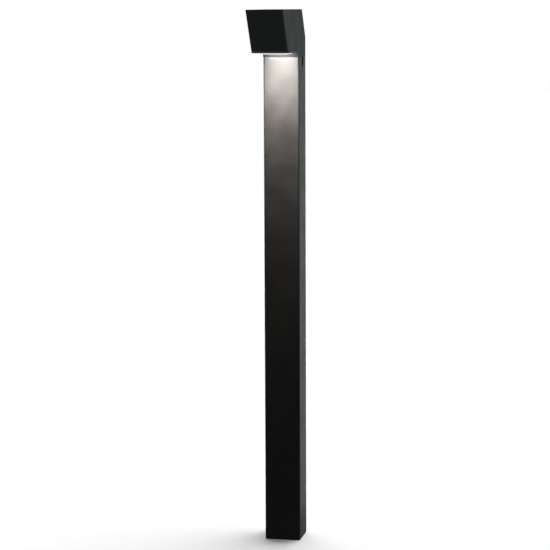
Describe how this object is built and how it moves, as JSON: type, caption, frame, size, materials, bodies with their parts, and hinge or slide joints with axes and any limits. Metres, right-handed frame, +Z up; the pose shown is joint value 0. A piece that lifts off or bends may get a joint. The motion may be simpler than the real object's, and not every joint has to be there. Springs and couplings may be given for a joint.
{
  "type": "bollard light",
  "caption": "Slim square post light with a forward-raked head of the same width that shines down in front of the post.",
  "frame": {"origin": "centre of the anchor holes, on the ground under the foot gasket", "axes": "+Z up along the post, -Y towards the front, where the head reaches out, +X to the right of a viewer in front"},
  "size_m": [0.06, 0.201, 0.89],
  "materials": {
    "coated_metal": "satin",
    "bare_casting": "matte",
    "plate_metal": "satin",
    "zinc_steel": "satin",
    "black_steel": "satin",
    "brass": "satin",
    "black_rubber": "matte",
    "black_plastic": "matte",
    "grey_plastic": "matte",
    "pale_plastic": "satin",
    "white_plastic": "satin",
    "reflector_white": "gloss",
    "cable_black": "satin",
    "cable_white": "satin",
    "core_brown": "satin",
    "earth_green": "satin",
    "pad_grey": "matte",
    "board_white": "satin",
    "led_phosphor": "satin",
    "lens_clear": "gloss"
  },
  "bodies": {
    "base": {"foot_gasket": "black_rubber", "anchor_plate": "bare_casting", "anchor_sleeve": "bare_casting", "foot_lock_screws": "black_steel", "junction_bracket": "zinc_steel", "bracket_screws": "zinc_steel", "junction_box": "grey_plastic", "junction_lid": "grey_plastic", "lid_screws": "zinc_steel", "terminal_block": "pale_plastic", "terminal_screws": "brass", "outlet_cores": "core_brown", "gland_body": "black_plastic", "gland_cap": "black_plastic", "gland_seal": "black_rubber", "gland_locknut": "black_plastic", "junction_socket": "black_plastic", "earth_screw": "brass", "earth_lug": "brass", "earth_lead": "earth_green"},
    "post": {"post_tube": "coated_metal", "feed_cable": "cable_black", "lower_plug": "black_plastic", "upper_plug": "black_plastic", "cable_clips": "white_plastic"},
    "head": {"head_housing": "coated_metal", "seam_gasket": "black_rubber", "neck": "bare_casting", "neck_screws": "zinc_steel", "head_lock_screws": "black_steel", "cable_grommet": "black_rubber", "vent_plug": "black_plastic", "gear_tray": "zinc_steel", "tray_screws": "zinc_steel", "driver": "white_plastic", "driver_screws": "zinc_steel", "gear_socket": "black_plastic", "driver_lead": "cable_black", "led_lead": "cable_white", "heat_plate": "plate_metal", "heat_plate_screws": "zinc_steel", "thermal_pad": "pad_grey", "led_board": "board_white", "board_screws": "zinc_steel", "led_chips": "led_phosphor", "led_connector": "pale_plastic", "reflector": "reflector_white", "lens_gasket": "black_rubber", "lens": "lens_clear", "lens_frame": "coated_metal", "frame_screws": "black_steel"}
  },
  "joints": [
    {"name": "post_lift", "type": "slide", "parent": "base", "child": "post", "axis": [0, 0, 1], "range_m": [0, 0.25]},
    {"name": "head_lift", "type": "slide", "parent": "post", "child": "head", "axis": [0, 0, 1], "range_m": [0, 0.24]}
  ]
}
